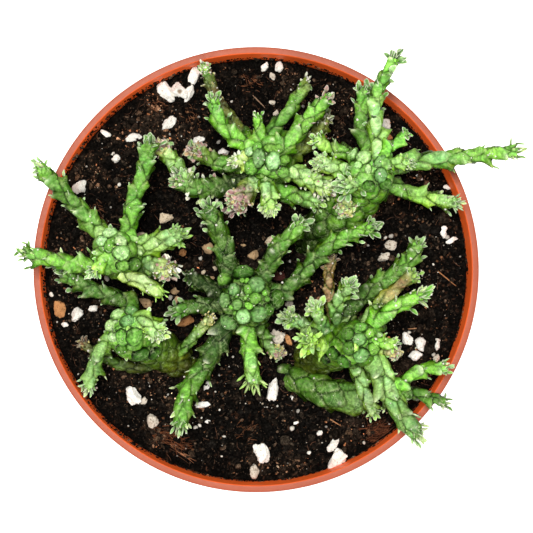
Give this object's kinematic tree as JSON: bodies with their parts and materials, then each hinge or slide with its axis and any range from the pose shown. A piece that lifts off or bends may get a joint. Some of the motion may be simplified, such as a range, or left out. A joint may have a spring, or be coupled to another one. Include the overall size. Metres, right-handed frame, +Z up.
{
  "type": "potted euphorbia",
  "caption": "Snake-armed succulent in a round nursery pot: thick stems end in crowns of tubercles, and leafy arms spread from each crown over a dark peat mix with white grains.",
  "frame": {"origin": "centre of the pot's underside, on the surface that the pot stands on", "axes": "+Z up along the pot's axis; seen from above, +X is to the right and +Y is to the top, towards the upper crown"},
  "size_m": [0.1282, 0.12, 0.1205],
  "materials": {
    "pot_plastic": "matte",
    "peat_mix": "matte",
    "stem_skin": "satin",
    "arm_skin": "satin",
    "perlite": "matte"
  },
  "bodies": {
    "root": {"arm_a1": "arm_skin", "arm_a2": "arm_skin", "arm_a3": "arm_skin", "arm_a4": "arm_skin", "arm_a5": "arm_skin", "arm_a6": "arm_skin", "arm_a7": "arm_skin", "arm_a8": "arm_skin", "arm_b1": "arm_skin", "arm_b10": "arm_skin", "arm_b11": "arm_skin", "arm_b12": "arm_skin", "arm_b2": "arm_skin", "arm_b3": "arm_skin", "arm_b4": "arm_skin", "arm_b5": "arm_skin", "arm_b6": "arm_skin", "arm_b7": "arm_skin", "arm_b8": "arm_skin", "arm_b9": "arm_skin", "arm_c1": "arm_skin", "arm_c2": "arm_skin", "arm_c3": "arm_skin", "arm_c4": "arm_skin", "arm_c5": "arm_skin", "arm_c6": "arm_skin", "arm_c7": "arm_skin", "arm_c8": "arm_skin", "arm_d1": "arm_skin", "arm_d2": "arm_skin", "arm_d3": "arm_skin", "arm_d4": "arm_skin", "arm_d5": "arm_skin", "arm_e1": "arm_skin", "arm_e2": "arm_skin", "arm_e3": "arm_skin", "arm_e4": "arm_skin", "arm_e5": "arm_skin", "arm_f1": "arm_skin", "arm_f10": "arm_skin", "arm_f11": "arm_skin", "arm_f12": "arm_skin", "arm_f2": "arm_skin", "arm_f3": "arm_skin", "arm_f4": "arm_skin", "arm_f5": "arm_skin", "arm_f6": "arm_skin", "arm_f7": "arm_skin", "arm_f8": "arm_skin", "arm_f9": "arm_skin", "perlite_large": "perlite", "pot": "pot_plastic", "soil": "peat_mix", "stem_a": "stem_skin", "stem_b": "stem_skin", "stem_c": "stem_skin", "stem_d": "stem_skin", "stem_e": "stem_skin", "stem_f": "stem_skin", "stem_g": "stem_skin"}
  },
  "joints": []
}
